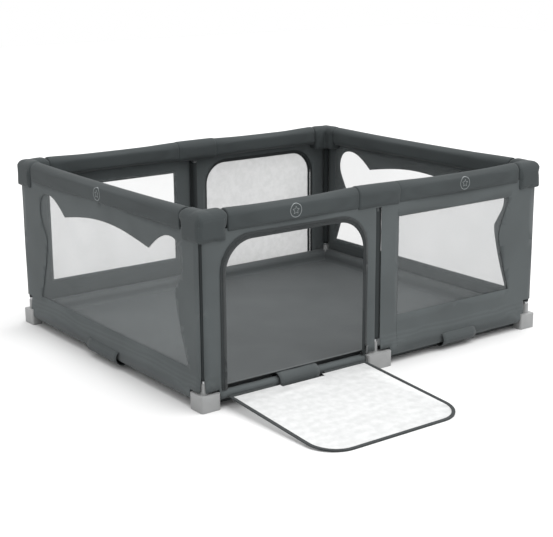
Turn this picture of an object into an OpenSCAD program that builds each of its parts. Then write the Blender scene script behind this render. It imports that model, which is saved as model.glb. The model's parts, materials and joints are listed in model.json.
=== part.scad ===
// Four-sided playpen: a frame of push-fit steel tubes on moulded feet, padded
// top rails, fabric walls with mesh windows and two zipped doors.
// X runs left to right, Y front to back, Z up. Origin: middle of the floor.

/* [Overall size] */
// Outer width, left to right
pen_w = 1580; // [1200:10:2200]
// Outer depth, front to back
pen_d = 1320; // [1000:10:1800]
// Height to the top of the corner caps
pen_h = 680; // [560:5:840]

/* [Frame tubes] */
// Outer diameter of every tube
tube_d = 19; // [14:0.5:24]
// Wall thickness of every tube
tube_wall = 1.2; // [0.8:0.1:2]
// Radial clearance between a tube and what it slides in
tube_fit = 0.25; // [0.1:0.05:0.5]
// How far a tube end goes into its socket
socket_depth = 30; // [20:1:40]
// Sideways offset of each middle post from the centre line
mid_post_shift = 30; // [0:5:80]
// Distance from the outer face to the outer side of a post tube
post_inset = 16.5; // [15.5:0.25:22.5]
// Distance from the outer face to the axis of a bottom rail
low_rail_inset = 20; // [18:1:24]
// Height of the bottom rail axis above the floor
low_rail_z = 44; // [40:1:60]
// Lower end of the fabric sleeve on each post
sleeve_z = 105; // [98:1:140]
// Thickness of the fabric sleeve on each post
sleeve_t = 2.5; // [1:0.5:3]

/* [Feet] */
// Length of each leg of a corner foot
foot_leg = 75; // [66:1:110]
// Width of a foot across the rail
foot_w = 44; // [40:1:48]
// Height of the foot block
foot_h = 58; // [56:1:76]
// Length of a middle foot along the rail
mid_foot_len = 110; // [100:2:140]
// How far a middle foot stands out past the outer face
mid_foot_proud = 10; // [0:1:14]
// Wall thickness of the collar that holds a post
collar_wall = 2.5; // [1.5:0.1:3]
// Height of the collar above the foot block
collar_h = 37; // [25:1:40]

/* [Top rail pads] */
// Width of a rail pad
pad_w = 60; // [54:1:70]
// Height of a rail pad
pad_h = 86; // [76:1:104]
// Gap between the pad's outer face and the outer face of the pen
pad_inset = 2; // [1:0.5:4]
// How far the corner caps rise above the pads
cap_rise = 9; // [5:1:14]
// Length of a corner cap along each rail
cap_leg = 120; // [104:1:180]
// Width of a corner cap across the rail
cap_w = 66; // [64:1:74]
// Height of a corner cap
cap_h = 115; // [108:1:140]
// Wall thickness of a corner cap
cap_t = 8; // [4:0.5:9]
// Radius of the lower corner of a cap, seen from the side
cap_corner_r = 30; // [10:1:40]
// Length of the cover over each middle joint
mid_cover_len = 190; // [150:2:260]

/* [Walls] */
// Distance from the outer face to the outer side of the wall fabric
wall_inset = 10; // [9:0.5:10]
// Thickness of the wall fabric
wall_t = 3; // [2:0.5:3]
// Thickness of the window mesh
mesh_t = 2; // [1:0.5:3]
// How far the mesh runs past the edge of its window
mesh_lap = 12; // [6:1:14]
// Outer radius of the wall hem round a bottom rail
hem_r = 17; // [15:0.5:19]
// Height of the fabric edge over the front left corner foot
low_edge_z = 66; // [66:1:78]
// Height of the fabric edge where the corner is cut away
notch_z = 118; // [110:1:140]
// Width of the cut-away corner from the outer face
notch_w = 60; // [50:1:74]
// How far a wall stops short of the corner, which leaves the post sleeve in view
corner_gap = 10; // [4:1:14]

/* [Windows] */
// Height of the lower edge of the side windows
side_sill_z = 137; // [120:1:240]
// Half width of a side window at its lower edge
side_half_w = 538; // [380:1:545]
// Sideways offset of each side window's centre
side_shift = 30; // [0:5:40]
// Height of the lower edge of the front window
front_sill_z = 180; // [130:1:260]
// Height of the lower edge of the back window
back_sill_z = 157; // [130:1:260]
// Gap between the middle post and the front window
front_window_gap = 95; // [60:1:140]
// Gap between the front window and the right outer face at its lower edge
front_window_end = 150; // [110:1:260]
// Gap between the middle post and the back window
back_window_gap = 98; // [60:1:140]
// Gap between the back window and the left outer face
back_window_end = 133; // [110:1:260]

/* [Doors] */
// Clear width of a doorway
door_w = 600; // [440:5:620]
// Gap between the middle post and the near side of a doorway
door_gap_mid = 62; // [60:1:90]
// Radius of the upper corners of a doorway
door_r = 110; // [60:1:160]
// Gap between a door panel and the edge of its doorway
panel_gap = 5; // [2:1:12]
// Width of the binding round a door panel
bind_w = 12; // [8:1:16]
// Thickness of the binding round a door panel
bind_t = 5; // [3:0.5:5]
// Width of the zip tape round a doorway
tape_w = 12; // [8:1:14]
// Thickness of the zip tape
tape_t = 3; // [1.5:0.5:3]
// Height of the fold line of a door panel
hinge_z = 40; // [34:1:46]

/* [Zip sliders] */
// Width of a zip slider
slider_w = 10; // [8:0.5:11]
// Length of a zip slider
slider_l = 14; // [12:1:18]
// Thickness of a zip slider
slider_t = 4; // [3:0.5:5]
// Length of a zip pull
pull_l = 26; // [18:1:36]

/* [Floor and support bands] */
// Thickness of the floor mat
mat_t = 28; // [15:1:34]
// Radius of the corners of the floor mat
mat_r = 25; // [5:1:60]
// Outer radius of a support band round a bottom rail
band_r = 30; // [24:1:34]
// Length of a support band on the front and back
band_len = 170; // [120:5:200]
// Length of a support band on the left and right
side_band_len = 220; // [150:5:300]
/* [Hidden] */

$fn = 48;

// Gap left between separate pieces that must not touch
piece_gap = 0.5;
// Gap between the moving pieces
move_gap = 0.3;
// Radial clearance of the pin of a zip pull
pin_fit = 0.08;
// Margin that makes a cut run clean past a face
cut = 1;

// Colours
rail_grey = "#565c5d";
wall_grey = "#555b5b";
dark_grey = "#2b2f30";
mesh_grey = "#b4b6b6";
foot_grey = "#a9abab";
steel_grey = "#a3a4a5";
floor_grey = "#606666";

// Half sizes of the whole pen
half_w = pen_w / 2;
half_d = pen_d / 2;

// Frame axes
tube_r = tube_d / 2;
bore_r = tube_r + tube_fit;
post_x = half_w - post_inset - tube_r;
post_y = half_d - post_inset - tube_r;
low_x = half_w - low_rail_inset;
low_y = half_d - low_rail_inset;
pad_top = pen_h - cap_rise;
pad_r = pad_w / 2;
pad_bottom = pad_top - pad_h;
top_rail_z = pad_top - pad_r;
top_rail_inset = pad_inset + pad_r;
top_x = half_w - top_rail_inset;
top_y = half_d - top_rail_inset;
mid_x = mid_post_shift;

// Posts stand in the foot collars and reach up into the connectors
collar_r = tube_r + collar_wall;
collar_top = foot_h + collar_h;
post_bottom = foot_h + 2;
socket_r = collar_r;
block_h = 43;
block_bottom = top_rail_z + socket_r + 2 - block_h;
post_top = block_bottom + 14;
socket_bottom = pad_bottom - 10;
block_half = 20;
block_out = wall_inset + 2;
sleeve_r = bore_r + sleeve_t;
sleeve_top = socket_bottom - 2;

// Rails start this far from the post axis, clear of the post
rail_start = tube_r + 16;
arm_end = rail_start + socket_depth + 5;

// Walls
wall_in = wall_inset + wall_t;
wall_top = pad_bottom + 20;
wall_foot_z = low_rail_z + hem_r * 0.6;
mid_slot_half = sleeve_r + piece_gap;
mid_slot_top = pad_bottom + 5;

// Windows
window_top = pad_bottom - 40;
side_lobe_z = pad_bottom - 22;

// Doorways and door panels
door_sill_z = low_rail_z + hem_r + 1;
door_top_z = pad_bottom - 17;
door_x = mid_x + door_gap_mid + door_w / 2;
door_half = door_w / 2;
panel_half = door_half - panel_gap;
panel_len = door_top_z - panel_gap - hinge_z;
panel_r = door_r - panel_gap;
hem_gap = 1.5;
hinge_y = half_d - low_rail_inset + hem_r + bind_t / 2 + hem_gap;
floor_gap = 0.2;
panel_slope = asin((hinge_z - bind_t / 2 - floor_gap) / panel_len);
lip_t = 3;

// Zip sliders run on the leg of the tape next to the middle post
slider_x = door_half + tape_w / 2;
slider_z = door_sill_z + 22;
slider_pin_r = 1;
slider_eye_r = 2;
slider_lug = 2;
pull_w = slider_w - 2 * slider_lug - 2 * move_gap;
pull_t = 1.6;
stop_h = 4;

// Support bands
band_clear = 6;
band_clear_top = 2;
band_notch_top = low_rail_z + band_r + band_clear_top - hinge_z;
band_far_x = (half_w - foot_leg - mid_x + mid_foot_len / 2) / 2;

// Floor mat
mat_gap = 3;
mat_inset = max(low_rail_inset + band_r, foot_w) + mat_gap;

// Helpers -----------------------------------------------------------------

// Extrudes a profile drawn in Y and Z along X
module along_x(x0, x1) {
    translate([x0, 0, 0]) rotate([90, 0, 90]) linear_extrude(x1 - x0) children();
}

// Extrudes a profile drawn in X and Z along Y
module along_y(y0, y1) {
    translate([0, y1, 0]) rotate([90, 0, 0]) linear_extrude(y1 - y0) children();
}

module rod_x(x0, x1, y, z, r) {
    translate([x0, y, z]) rotate([0, 90, 0]) cylinder(r = r, h = x1 - x0);
}

module rod_y(y0, y1, x, z, r) {
    translate([x, y1, z]) rotate([90, 0, 0]) cylinder(r = r, h = y1 - y0);
}

module rod_z(z0, z1, x, y, r) {
    translate([x, y, z0]) cylinder(r = r, h = z1 - z0);
}

// Puts a corner piece, drawn in the quadrant +X +Y, at the corner sx, sy
module at_corner(sx, sy) {
    mirror([sx < 0 ? 1 : 0, 0, 0]) mirror([0, sy < 0 ? 1 : 0, 0]) children();
}

// Long sides are drawn at the back (+Y), side pieces at the right (+X). Half a
// turn about Z puts them at the front or at the left.
module half_turn() {
    rotate([0, 0, 180]) children();
}

module soft_rect(x0, y0, x1, y1, r_low, r_high) {
    translate([x0, y0 + r_low]) square([x1 - x0, y1 - y0 - r_low - r_high]);
    translate([x0 + r_low, y0]) square([x1 - x0 - 2 * r_low, y1 - y0 - r_high]);
    translate([x0 + r_high, y0 + r_low]) square([x1 - x0 - 2 * r_high, y1 - y0 - r_low]);
    for (x = [x0 + r_low, x1 - r_low]) translate([x, y0 + r_low]) circle(r = r_low);
    for (x = [x0 + r_high, x1 - r_high]) translate([x, y1 - r_high]) circle(r = r_high);
}

// Points of a circular arc
function arc(cx, cy, r, a0, a1, n) = [
    for (i = [0:n]) [cx + r * cos(a0 + (a1 - a0) * i / n), cy + r * sin(a0 + (a1 - a0) * i / n)]
];

// Doorway outline: straight bottom and sides, round upper corners
function arch(half, z0, z1, r) = concat(
    [[-half, z0]],
    arc(-half + r, z1 - r, r, 180, 90, 10),
    arc(half - r, z1 - r, r, 90, 0, 10),
    [[half, z0]]
);

// Smooth curve through a list of points
function blend_point(a, b, c, d, t) = 0.5 * (
    2 * b + (c - a) * t + (2 * a - 5 * b + 4 * c - d) * t * t
    + (3 * b - a - 3 * c + d) * t * t * t
);
function curve(p, n) = [
    for (i = [0:len(p) - 2], k = [0:n - 1])
        blend_point(p[max(i - 1, 0)], p[i], p[i + 1], p[min(i + 2, len(p) - 1)], k / n)
];
function reversed(p) = [for (i = [len(p) - 1:-1:0]) p[i]];
function mirrored(p) = [for (q = p) [-q[0], q[1]]];

// Tubes -------------------------------------------------------------------

module tube_along_x(x0, x1, y, z) {
    color(steel_grey) difference() {
        rod_x(x0, x1, y, z, tube_r);
        rod_x(x0 - cut, x1 + cut, y, z, tube_r - tube_wall);
    }
}

module tube_along_y(y0, y1, x, z) {
    color(steel_grey) difference() {
        rod_y(y0, y1, x, z, tube_r);
        rod_y(y0 - cut, y1 + cut, x, z, tube_r - tube_wall);
    }
}

module post(x, y) {
    color(steel_grey) difference() {
        rod_z(post_bottom, post_top, x, y, tube_r);
        rod_z(post_bottom - cut, post_top + cut, x, y, tube_r - tube_wall);
    }
}

// Between the middle post and the corner on its own side
module top_rail_near() tube_along_x(mid_x + rail_start, post_x - rail_start, top_y, top_rail_z);
// Between the middle post and the other corner
module top_rail_far() tube_along_x(rail_start - post_x, mid_x - rail_start, top_y, top_rail_z);
module top_rail_side() tube_along_y(rail_start - post_y, post_y - rail_start, top_x, top_rail_z);

low_rail_x = half_w - foot_leg + socket_depth;
low_rail_y = half_d - foot_leg + socket_depth;
low_rail_mid = mid_foot_len / 2 - socket_depth;
module low_rail_near() tube_along_x(mid_x + low_rail_mid, low_rail_x, low_y, low_rail_z);
module low_rail_far() tube_along_x(-low_rail_x, mid_x - low_rail_mid, low_y, low_rail_z);
module low_rail_side() tube_along_y(-low_rail_y, low_rail_y, low_x, low_rail_z);

// Feet --------------------------------------------------------------------

foot_edge_r = 8;

module corner_foot(sx, sy) {
    color(foot_grey) at_corner(sx, sy) difference() {
        union() {
            linear_extrude(foot_h) {
                soft_rect(half_w - foot_leg, half_d - foot_w, half_w, half_d, foot_edge_r, foot_edge_r);
                soft_rect(half_w - foot_w, half_d - foot_leg, half_w, half_d, foot_edge_r, foot_edge_r);
            }
            rod_z(foot_h - cut, collar_top, post_x, post_y, collar_r);
        }
        rod_z(post_bottom, collar_top + cut, post_x, post_y, bore_r);
        rod_x(half_w - foot_leg - cut, low_rail_x + cut, low_y, low_rail_z, bore_r);
        rod_y(half_d - foot_leg - cut, low_rail_y + cut, low_x, low_rail_z, bore_r);
    }
}

module mid_foot() {
    color(foot_grey) difference() {
        union() {
            linear_extrude(foot_h)
                soft_rect(
                    mid_x - mid_foot_len / 2, half_d - foot_w,
                    mid_x + mid_foot_len / 2, half_d + mid_foot_proud,
                    foot_edge_r, foot_edge_r
                );
            rod_z(foot_h - cut, collar_top, mid_x, post_y, collar_r);
        }
        rod_z(post_bottom, collar_top + cut, mid_x, post_y, bore_r);
        for (s = [-1, 1]) {
            x0 = mid_x + s * (mid_foot_len / 2 + cut);
            x1 = mid_x + s * (low_rail_mid - cut);
            rod_x(min(x0, x1), max(x0, x1), low_y, low_rail_z, bore_r);
        }
    }
}

// Top connectors, hidden inside the caps and the middle covers --------------

module connector_block(x0, x1) {
    translate([x0, half_d - block_out - 2 * block_half, block_bottom])
        cube([x1 - x0, 2 * block_half, block_h]);
}

module corner_connector() {
    arm_x = post_x - arm_end;
    arm_y = post_y - arm_end;
    color(foot_grey) difference() {
        union() {
            connector_block(half_w - block_out - 2 * block_half, half_w - block_out);
            rod_x(arm_x, post_x, top_y, top_rail_z, socket_r);
            rod_y(arm_y, post_y, top_x, top_rail_z, socket_r);
            rod_z(socket_bottom, block_bottom + cut, post_x, post_y, socket_r);
        }
        rod_z(socket_bottom - cut, post_top + cut, post_x, post_y, bore_r);
        rod_x(arm_x - cut, post_x - rail_start + cut, top_y, top_rail_z, bore_r);
        rod_y(arm_y - cut, post_y - rail_start + cut, top_x, top_rail_z, bore_r);
    }
}

module corner_connectors() {
    for (sx = [-1, 1], sy = [-1, 1]) at_corner(sx, sy) corner_connector();
}

module mid_connector() {
    color(foot_grey) difference() {
        union() {
            connector_block(mid_x - block_half, mid_x + block_half);
            rod_x(mid_x - arm_end, mid_x + arm_end, top_y, top_rail_z, socket_r);
            rod_z(socket_bottom, block_bottom + cut, mid_x, post_y, socket_r);
        }
        rod_z(socket_bottom - cut, post_top + cut, mid_x, post_y, bore_r);
        rod_x(mid_x - arm_end - cut, mid_x - rail_start + cut, top_y, top_rail_z, bore_r);
        rod_x(mid_x + rail_start - cut, mid_x + arm_end + cut, top_y, top_rail_z, bore_r);
    }
}

module mid_connectors() {
    mid_connector();
    half_turn() mid_connector();
}

// Padded rails, covers and caps ---------------------------------------------

// Cross-section of a rail pad; half is the half size of the pen across the rail
module pad_profile(half) {
    v = half - top_rail_inset;
    difference() {
        union() {
            translate([v, top_rail_z]) circle(r = pad_r);
            translate([v, pad_bottom + pad_r]) circle(r = pad_r);
            translate([v - pad_r, pad_bottom + pad_r]) square([pad_w, pad_h - pad_w]);
        }
        translate([v, top_rail_z]) circle(r = bore_r);
        wall_slot(half, pad_bottom - cut);
    }
}

// Slot that takes the upper edge of a wall
module wall_slot(half, z0) {
    translate([half - wall_in - piece_gap, z0])
        square([wall_t + 2 * piece_gap, wall_top + piece_gap - z0]);
}

cover_half = mid_cover_len / 2;
pad_end_x = half_w - cap_leg - piece_gap;
pad_end_y = half_d - cap_leg - piece_gap;

module pad_near() {
    color(rail_grey) along_x(mid_x + cover_half + piece_gap, pad_end_x) pad_profile(half_d);
}

module pad_far() {
    color(rail_grey) along_x(-pad_end_x, mid_x - cover_half - piece_gap) pad_profile(half_d);
}

module pad_side() {
    color(rail_grey) along_y(-pad_end_y, pad_end_y) pad_profile(half_w);
}

module mid_cover() {
    g = piece_gap;
    color(rail_grey) difference() {
        along_x(mid_x - cover_half, mid_x + cover_half) pad_profile(half_d);
        translate([mid_x - block_half - g, half_d - block_out - 2 * block_half - g, block_bottom - g])
            cube([2 * block_half + 2 * g, 2 * block_half + 2 * g, block_h + 2 * g]);
        rod_x(mid_x - arm_end - g, mid_x + arm_end + g, top_y, top_rail_z, socket_r + g);
        rod_z(socket_bottom - cut, block_bottom, mid_x, post_y, socket_r + g);
    }
}

cap_bottom = pen_h - cap_h;
cap_top_r = 20;
cap_low_r = 6;

module cap_profile(half) {
    soft_rect(half - cap_w, cap_bottom, half, pen_h, cap_low_r, cap_top_r);
}

module cap_hollow(half) {
    translate([half - cap_w + cap_t, cap_bottom - cut])
        square([cap_w - 2 * cap_t, cap_h - cap_t + cut]);
}

// Rounds off the lower corner of a cap end; half is measured along the rail
module cap_end_cut(half) {
    difference() {
        translate([half - cap_leg - cut, cap_bottom - cut])
            square(cap_corner_r + cut);
        translate([half - cap_leg + cap_corner_r, cap_bottom + cap_corner_r])
            circle(r = cap_corner_r);
    }
}

module corner_cap(sx, sy) {
    x0 = half_w - cap_leg;
    y0 = half_d - cap_leg;
    edge_r = 26;
    color(rail_grey) at_corner(sx, sy) difference() {
        union() {
            along_x(x0, half_w) cap_profile(half_d);
            along_y(y0, half_d) cap_profile(half_w);
        }
        along_x(x0 + cap_t, half_w - cap_t) cap_hollow(half_d);
        along_y(y0 + cap_t, half_d - cap_t) cap_hollow(half_w);
        rod_x(x0 - cut, x0 + cap_t + cut, top_y, top_rail_z, bore_r);
        rod_y(y0 - cut, y0 + cap_t + cut, top_x, top_rail_z, bore_r);
        along_x(x0 - cut, x0 + cap_t + cut) wall_slot(half_d, cap_bottom - cut);
        along_y(y0 - cut, y0 + cap_t + cut) wall_slot(half_w, cap_bottom - cut);
        along_y(half_d - cap_w - cut, half_d + cut) cap_end_cut(half_w);
        along_x(half_w - cap_w - cut, half_w + cut) cap_end_cut(half_d);
        // Rounded outer corner, seen from above
        translate([0, 0, cap_bottom - cut]) linear_extrude(cap_h + 2 * cut) difference() {
            translate([half_w - edge_r, half_d - edge_r]) square(edge_r + cut);
            translate([half_w - edge_r, half_d - edge_r]) circle(r = edge_r);
        }
    }
}

// Walls, windows and doorways -----------------------------------------------

foot_clear = 2;
leg_x = half_w - foot_leg - foot_clear;
leg_y = half_d - foot_leg - foot_clear;
mid_leg = mid_foot_len / 2 + foot_clear;

// Front window: straight but for the pinched side next to the corner
function front_window() = let(
    far = half_w - front_window_end,
    rise = window_top - front_sill_z,
    side = [[0, 0], [40, 0.38], [60, 0.62], [32, 0.84], [16, 0.94], [16, 1]],
    line = [for (p = side) [p[0] - far, front_sill_z + p[1] * rise]]
) concat(
    curve(line, 5),
    [line[len(line) - 1], [mid_x - front_window_gap, window_top]],
    [[mid_x - front_window_gap, front_sill_z]]
);

back_window_top = window_top - 12;
function back_window() = let(
    x0 = back_window_end - half_w,
    x1 = mid_x - back_window_gap
) [[x0, back_sill_z], [x0, back_window_top], [x1, back_window_top], [x1, back_sill_z]];

// Side window: like a pair of tied curtains under a shallow arch
function side_window() = let(
    s = side_half_w / 538,
    valley = 305,
    drop = 66,
    rise = 36,
    pinch_z = side_lobe_z - 183,
    arch_top = [for (i = [0:7]) [valley * i / 8, side_lobe_z - drop + rise * cos(90 * i / 8)]],
    lobe = [
        [valley, -drop], [352, -31], [400, -7], [447, 0], [490, -14],
        [513, -53], [512, -98], [490, -143], [467, -183]
    ],
    lower = [[467, 1], [474, 0.8], [500, 0.42], [538, 0]],
    lobe_line = [for (p = lobe) [p[0], side_lobe_z + p[1]]],
    low_line = [for (p = lower) [p[0], side_sill_z + p[1] * (pinch_z - side_sill_z)]],
    line = concat(arch_top, curve(lobe_line, 4), curve(low_line, 4), [[538, side_sill_z]]),
    half = [for (p = line) [p[0] * s, p[1]]]
) [for (p = concat(half, reversed(mirrored(half)))) [p[0] + side_shift, p[1]]];

// Lower edge of a wall end; h is where the foot leg ends, e the wall's own end
function low_corner(h, e) = [[e, low_edge_z], [h, low_edge_z], [h, wall_foot_z]];
function cut_corner(half, h, e) = [
    [h, wall_foot_z], [h, low_edge_z], [half, low_edge_z], [half, notch_z], [e, notch_z]
];

// A slot shows the sleeve of the middle post up to the pad
module long_wall_outline() {
    e = half_w - wall_inset - corner_gap;
    polygon(concat(
        [[-e, wall_top], [e, wall_top]],
        low_corner(leg_x, e),
        [
            [mid_x + mid_leg, wall_foot_z], [mid_x + mid_leg, low_edge_z],
            [mid_x + mid_slot_half, low_edge_z], [mid_x + mid_slot_half, mid_slot_top],
            [mid_x - mid_slot_half, mid_slot_top], [mid_x - mid_slot_half, low_edge_z],
            [mid_x - mid_leg, low_edge_z], [mid_x - mid_leg, wall_foot_z]
        ],
        cut_corner(notch_w - half_w, -leg_x, -e)
    ));
}

module side_wall_outline() {
    e = half_d - wall_inset - corner_gap;
    polygon(concat(
        [[-e, wall_top], [e, wall_top]],
        low_corner(leg_y, e),
        cut_corner(notch_w - half_d, -leg_y, -e)
    ));
}

module doorway(grow, z0) {
    translate([door_x, 0]) polygon(arch(door_half + grow, z0, door_top_z + grow, door_r + grow));
}

module hem_bores_x() {
    rod_x(-half_w, half_w, low_y, low_rail_z, bore_r);
}

// Strip of fabric that reaches from the hem to the fold line of the door panel
module fold_lip() {
    band_half = band_len / 2 + band_clear;
    z0 = hinge_z - lip_t / 2;
    y1 = hinge_y - bind_t / 2 - move_gap;
    for (s = [-1, 1]) {
        x0 = min(s * band_half, s * panel_half);
        translate([door_x + x0, low_y + bore_r + cut, z0])
            cube([panel_half - band_half, y1 - low_y - bore_r - cut, lip_t]);
    }
}

module long_wall(front) {
    color(wall_grey) difference() {
        union() {
            along_y(half_d - wall_in, half_d - wall_inset) difference() {
                long_wall_outline();
                doorway(0, door_sill_z);
                polygon(front ? front_window() : back_window());
            }
            rod_x(mid_x + mid_leg, leg_x, low_y, low_rail_z, hem_r);
            rod_x(-leg_x, mid_x - mid_leg, low_y, low_rail_z, hem_r);
            fold_lip();
        }
        hem_bores_x();
    }
}

module side_wall() {
    color(wall_grey) difference() {
        union() {
            along_x(half_w - wall_in, half_w - wall_inset) difference() {
                side_wall_outline();
                polygon(side_window());
            }
            rod_y(-leg_y, leg_y, low_x, low_rail_z, hem_r);
        }
        rod_y(-half_d, half_d, low_x, low_rail_z, bore_r);
    }
}

mesh_in = wall_in + mesh_t;

module long_mesh(x0, x1, z0, z1) {
    color(mesh_grey) translate([x0 - mesh_lap, half_d - mesh_in, z0 - mesh_lap])
        cube([x1 - x0 + 2 * mesh_lap, mesh_t, z1 - z0 + 2 * mesh_lap]);
}

module front_mesh() {
    long_mesh(front_window_end - half_w, mid_x - front_window_gap, front_sill_z, window_top);
}

module back_mesh() {
    long_mesh(back_window_end - half_w, mid_x - back_window_gap, back_sill_z, back_window_top);
}

module side_mesh() {
    h = side_half_w + mesh_lap;
    z0 = side_sill_z - mesh_lap;
    color(mesh_grey) translate([half_w - mesh_in, side_shift - h, z0])
        cube([mesh_t, 2 * h, side_lobe_z + mesh_lap - z0]);
}

// Door panels ---------------------------------------------------------------
// Drawn shut and upright, with the fold line along X through the origin.

module band_notch(grow) {
    half = band_len / 2 + band_clear + grow;
    translate([-half, -cut]) square([2 * half, band_notch_top + grow + cut]);
}

module panel_shape(inset) {
    polygon(arch(panel_half - inset, inset, panel_len - inset, panel_r - inset));
}

module door_binding() {
    half = band_len / 2 + band_clear;
    color(dark_grey) {
        along_y(-bind_t / 2, bind_t / 2) difference() {
            panel_shape(0);
            difference() {
                panel_shape(bind_w);
                band_notch(bind_w);
            }
            band_notch(0);
        }
        rod_x(-panel_half, -half, 0, 0, bind_t / 2);
        rod_x(half, panel_half, 0, 0, bind_t / 2);
    }
}

module door_mesh() {
    color(mesh_grey) along_y(-mesh_t / 2, mesh_t / 2) difference() {
        panel_shape(bind_w);
        band_notch(bind_w);
    }
}

module shut_door() translate([door_x, hinge_y, hinge_z]) children();
module open_door() half_turn() shut_door() rotate([-90 - panel_slope, 0, 0]) children();

// Zips ------------------------------------------------------------------------

tape_y = half_d - wall_inset;
slider_back = tape_y + tape_t + move_gap;
slider_front = slider_back + slider_t;
eye_y = slider_front + slider_eye_r + move_gap;
eye_z = slider_z + slider_l - 4;
leg_line = door_x - slider_x;

module zip_tape() {
    color(dark_grey) {
        along_y(tape_y, tape_y + tape_t) difference() {
            doorway(tape_w, door_sill_z);
            doorway(0, door_sill_z - cut);
        }
        // End stop below the slider
        translate([leg_line - tape_w / 3, tape_y + tape_t - cut, slider_z - stop_h - move_gap])
            cube([tape_w * 2 / 3, slider_t / 2 + cut, stop_h]);
    }
}

module zip_tapes() {
    zip_tape();
    half_turn() zip_tape();
}

module zip_slider() {
    lug_in = slider_w / 2 - slider_lug;
    color(steel_grey) difference() {
        union() {
            translate([leg_line - slider_w / 2, slider_back, slider_z])
                cube([slider_w, slider_t, slider_l]);
            for (x = [-slider_w / 2, lug_in])
                translate([leg_line + x, slider_front - cut, eye_z - slider_eye_r])
                    cube([slider_lug, eye_y + slider_eye_r - slider_front + cut, 2 * slider_eye_r]);
        }
        rod_x(leg_line - slider_w, leg_line + slider_w, eye_y, eye_z, slider_pin_r + pin_fit);
    }
}

module zip_pull() {
    color(steel_grey) difference() {
        union() {
            rod_x(leg_line - pull_w / 2, leg_line + pull_w / 2, eye_y, eye_z, slider_eye_r);
            rod_x(
                leg_line - slider_w / 2 + move_gap, leg_line + slider_w / 2 - move_gap,
                eye_y, eye_z, slider_pin_r
            );
            translate([leg_line - pull_w / 2, eye_y - pull_t / 2, eye_z - pull_l])
                cube([pull_w, pull_t, pull_l]);
        }
        rod_y(eye_y - pull_t, eye_y + pull_t, leg_line, eye_z - pull_l + pull_w / 2, pull_w / 4);
    }
}

// Fabric trims and floor --------------------------------------------------------

band_mouth_r = band_r - 4;
band_mouth = 18;

module band_x(x, len) {
    color(dark_grey) difference() {
        rod_x(x - len / 2, x + len / 2, low_y, low_rail_z, band_r);
        rod_x(x - len / 2 - cut, x + len / 2 + cut, low_y, low_rail_z, hem_r + piece_gap);
        rod_x(x - len / 2 - cut, x - len / 2 + band_mouth, low_y, low_rail_z, band_mouth_r);
        rod_x(x + len / 2 - band_mouth, x + len / 2 + cut, low_y, low_rail_z, band_mouth_r);
        // Room for the edge of the wall above the hem
        translate([x - len, half_d - wall_in - piece_gap, low_rail_z])
            cube([2 * len, wall_t + 2 * piece_gap, 2 * band_r]);
    }
}

module band_side() {
    h = side_band_len / 2;
    color(dark_grey) difference() {
        rod_y(-h, h, low_x, low_rail_z, band_r);
        rod_y(-h - cut, h + cut, low_x, low_rail_z, hem_r + piece_gap);
        rod_y(-h - cut, -h + band_mouth, low_x, low_rail_z, band_mouth_r);
        rod_y(h - band_mouth, h + cut, low_x, low_rail_z, band_mouth_r);
        translate([half_w - wall_in - piece_gap, -2 * h, low_rail_z])
            cube([wall_t + 2 * piece_gap, 4 * h, 2 * band_r]);
    }
}

module half_bands() {
    band_x(door_x, band_len);
    band_x(-band_far_x, band_len);
    band_side();
}

module support_bands() {
    half_bands();
    half_turn() half_bands();
}

module post_sleeve(x, y) {
    color(dark_grey) difference() {
        rod_z(sleeve_z, sleeve_top, x, y, sleeve_r);
        rod_z(sleeve_z - cut, sleeve_top + cut, x, y, bore_r);
    }
}

module post_sleeves() {
    for (sx = [-1, 1], sy = [-1, 1]) post_sleeve(sx * post_x, sy * post_y);
    for (s = [-1, 1]) post_sleeve(s * mid_x, s * post_y);
}

module floor_mat() {
    x = half_w - mat_inset;
    y = half_d - mat_inset;
    color(floor_grey) linear_extrude(mat_t) soft_rect(-x, -y, x, y, mat_r, mat_r);
}

// Assembly --------------------------------------------------------------------

post(-post_x, -post_y);  // front_left_post
post(post_x, -post_y);  // front_right_post
post(-post_x, post_y);  // back_left_post
post(post_x, post_y);  // back_right_post
post(-mid_x, -post_y);  // front_mid_post
post(mid_x, post_y);  // back_mid_post
half_turn() top_rail_near();  // front_left_top_rail
half_turn() top_rail_far();  // front_right_top_rail
top_rail_far();  // back_left_top_rail
top_rail_near();  // back_right_top_rail
half_turn() top_rail_side();  // left_top_rail
top_rail_side();  // right_top_rail
half_turn() low_rail_near();  // front_left_low_rail
half_turn() low_rail_far();  // front_right_low_rail
low_rail_far();  // back_left_low_rail
low_rail_near();  // back_right_low_rail
half_turn() low_rail_side();  // left_low_rail
low_rail_side();  // right_low_rail
corner_foot(-1, -1);  // front_left_foot
corner_foot(1, -1);  // front_right_foot
corner_foot(-1, 1);  // back_left_foot
corner_foot(1, 1);  // back_right_foot
half_turn() mid_foot();  // front_mid_foot
mid_foot();  // back_mid_foot
corner_connectors();
mid_connectors();
half_turn() pad_near();  // front_left_pad
half_turn() pad_far();  // front_right_pad
pad_far();  // back_left_pad
pad_near();  // back_right_pad
half_turn() pad_side();  // left_pad
pad_side();  // right_pad
corner_cap(-1, -1);  // front_left_cap
corner_cap(1, -1);  // front_right_cap
corner_cap(-1, 1);  // back_left_cap
corner_cap(1, 1);  // back_right_cap
half_turn() mid_cover();  // front_mid_cover
mid_cover();  // back_mid_cover
half_turn() long_wall(true);  // front_wall
long_wall(false);  // back_wall
half_turn() side_wall();  // left_wall
side_wall();  // right_wall
half_turn() front_mesh();  // front_window_mesh
back_mesh();  // back_window_mesh
half_turn() side_mesh();  // left_window_mesh
side_mesh();  // right_window_mesh
open_door() door_mesh();  // front_door_mesh
open_door() door_binding();  // front_door_binding
shut_door() door_mesh();  // back_door_mesh
shut_door() door_binding();  // back_door_binding
zip_tapes();
support_bands();
post_sleeves();
floor_mat();
half_turn() zip_slider();  // front_zip_slider
zip_slider();  // back_zip_slider
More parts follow.
